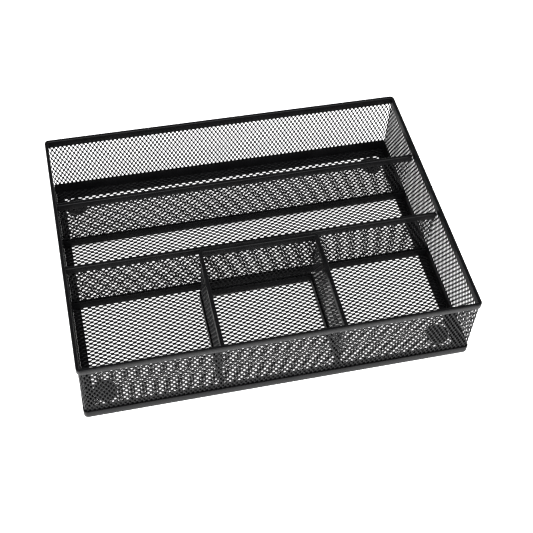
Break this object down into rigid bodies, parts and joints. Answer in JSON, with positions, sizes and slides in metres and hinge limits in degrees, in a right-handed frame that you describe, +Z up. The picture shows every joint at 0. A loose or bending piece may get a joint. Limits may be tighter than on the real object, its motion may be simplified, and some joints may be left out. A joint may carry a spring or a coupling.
{
  "type": "desk organizer",
  "caption": "Free-standing open tray of expanded metal mesh, with folded steel edges and upright mesh dividers that form long and short compartments.",
  "frame": {"origin": "middle of the tray's footprint, on the table the pads stand on", "axes": "+X along the tray's width to its right, +Y to its back, +Z up"},
  "size_m": [0.305, 0.232, 0.0655],
  "materials": {
    "strip_steel": "semi-gloss black powder coat",
    "mesh_steel": "semi-gloss black powder coat",
    "pad": "matte"
  },
  "bodies": {
    "root": {"top_rim": "strip_steel", "wall_mesh": "mesh_steel", "base_channel": "strip_steel", "floor_border": "strip_steel", "floor_mesh": "mesh_steel", "back_divider_mesh": "mesh_steel", "back_divider_rail": "strip_steel", "back_divider_foot_strip": "strip_steel", "front_divider_mesh": "mesh_steel", "front_divider_rail": "strip_steel", "front_divider_foot_strip": "strip_steel", "u_divider_mesh": "mesh_steel", "u_divider_rail": "strip_steel", "u_divider_foot_strip": "strip_steel", "pad_front_left": "pad", "pad_front_right": "pad", "pad_back_left": "pad", "pad_back_right": "pad"}
  },
  "joints": []
}
